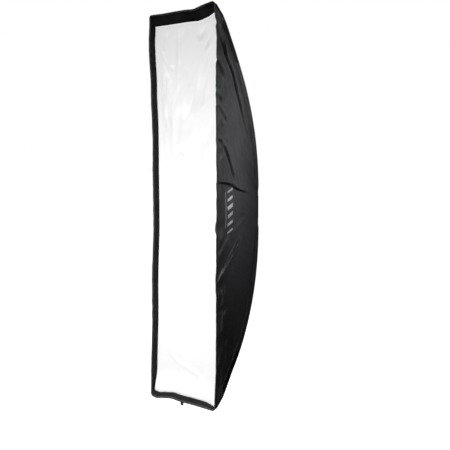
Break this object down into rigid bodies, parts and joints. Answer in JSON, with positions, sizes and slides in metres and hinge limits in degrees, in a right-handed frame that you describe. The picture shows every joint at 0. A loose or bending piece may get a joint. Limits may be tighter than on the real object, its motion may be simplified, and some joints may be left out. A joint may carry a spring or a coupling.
{
  "type": "studio softbox",
  "caption": "Tall strip softbox: black fabric shell bowed by spring rods, set-back white diffuser behind a lip, and a turning three-lug bayonet ring at the back.",
  "frame": {"origin": "on the ring's axis, in the plane where the flash head's face meets the bayonet drum", "axes": "+Z along the long side of the box, +Y along the ring's axis towards the flash head, +X to the right seen from the front"},
  "size_m": [0.35, 0.452, 1.6154],
  "materials": {
    "shell": "black woven nylon with a dull sheen, silver inside",
    "lip": "black woven nylon lined with black loop tape",
    "diffuser": "white translucent woven nylon",
    "tape": "black hook-and-loop tape",
    "webbing": "black woven webbing",
    "ring_steel": "black powder coat, satin",
    "zinc": "bright zinc plating",
    "spring_rod": "bare spring steel",
    "black_plastic": "moulded, fine texture"
  },
  "bodies": {
    "bayonet": {"bayonet_insert": "ring_steel"},
    "softbox": {"baffle_strap_lower_left": "webbing", "baffle_strap_lower_right": "webbing", "baffle_strap_middle_left": "webbing", "baffle_strap_middle_right": "webbing", "baffle_strap_upper_left": "webbing", "baffle_strap_upper_right": "webbing", "bottom_panel": "shell", "corner_pocket_lower_left": "webbing", "corner_pocket_lower_right": "webbing", "corner_pocket_upper_left": "webbing", "corner_pocket_upper_right": "webbing", "inner_baffle": "diffuser", "lip_bottom": "lip", "lip_left": "lip", "lip_right": "lip", "lip_top": "lip", "loop_tape_bottom": "tape", "loop_tape_left": "tape", "loop_tape_right": "tape", "loop_tape_top": "tape", "pull_tab": "webbing", "retaining_ring": "ring_steel", "ring_screw_1": "zinc", "ring_screw_2": "zinc", "ring_screw_3": "zinc", "ring_screw_4": "zinc", "rod_lower_left": "spring_rod", "rod_lower_right": "spring_rod", "rod_socket_lower_left": "ring_steel", "rod_socket_lower_right": "ring_steel", "rod_socket_upper_left": "ring_steel", "rod_socket_upper_right": "ring_steel", "rod_tip_lower_left": "black_plastic", "rod_tip_lower_right": "black_plastic", "rod_tip_upper_left": "black_plastic", "rod_tip_upper_right": "black_plastic", "rod_upper_left": "spring_rod", "rod_upper_right": "spring_rod", "side_panel_left": "shell", "side_panel_right": "shell", "speedring": "ring_steel", "top_panel": "shell"},
    "front_diffuser": {"front_diffuser": "diffuser", "diffuser_hook_tape": "tape"},
    "lock_pad": {"lock_pad": "black_plastic"},
    "lock_knob": {"lock_knob": "black_plastic"},
    "rear_flap_bottom": {"rear_flap_bottom": "shell"},
    "rear_flap_left": {"rear_flap_left": "shell"},
    "rear_flap_right": {"rear_flap_right": "shell"},
    "rear_flap_top": {"rear_flap_top": "shell"}
  },
  "joints": [
    {"name": "softbox_rotation", "type": "hinge", "parent": "bayonet", "child": "softbox", "pos_m": [0, 0, 0], "axis": [0, 1, 0], "continuous": true},
    {"name": "diffuser_release", "type": "slide", "parent": "softbox", "child": "front_diffuser", "axis": [0, -1, 0], "range_m": [0, 0.12]},
    {"name": "lock_pad_slide", "type": "slide", "parent": "softbox", "child": "lock_pad", "axis": [-0.7071, 0, -0.7071], "range_m": [0, 0.0021]},
    {"name": "lock_knob_turn", "type": "hinge", "parent": "lock_pad", "child": "lock_knob", "pos_m": [0, -0.0092, 0], "axis": [-0.7071, 0, -0.7071], "range_deg": [0, 1080]},
    {"name": "rear_flap_right_hinge", "type": "hinge", "parent": "softbox", "child": "rear_flap_right", "pos_m": [0.072, -0.0009, 0], "axis": [0, 0, -1], "range_deg": [0, 110]},
    {"name": "rear_flap_left_hinge", "type": "hinge", "parent": "softbox", "child": "rear_flap_left", "pos_m": [-0.072, -0.0009, 0], "axis": [0, 0, 1], "range_deg": [0, 110]},
    {"name": "rear_flap_top_hinge", "type": "hinge", "parent": "softbox", "child": "rear_flap_top", "pos_m": [0, -0.0009, 0.076], "axis": [1, 0, 0], "range_deg": [0, 110]},
    {"name": "rear_flap_bottom_hinge", "type": "hinge", "parent": "softbox", "child": "rear_flap_bottom", "pos_m": [0, -0.0009, -0.076], "axis": [-1, 0, 0], "range_deg": [0, 110]}
  ],
  "couplings": [
    {"joint": "lock_knob_turn", "follows": "lock_pad_slide", "rad_per_m": 8976}
  ]
}
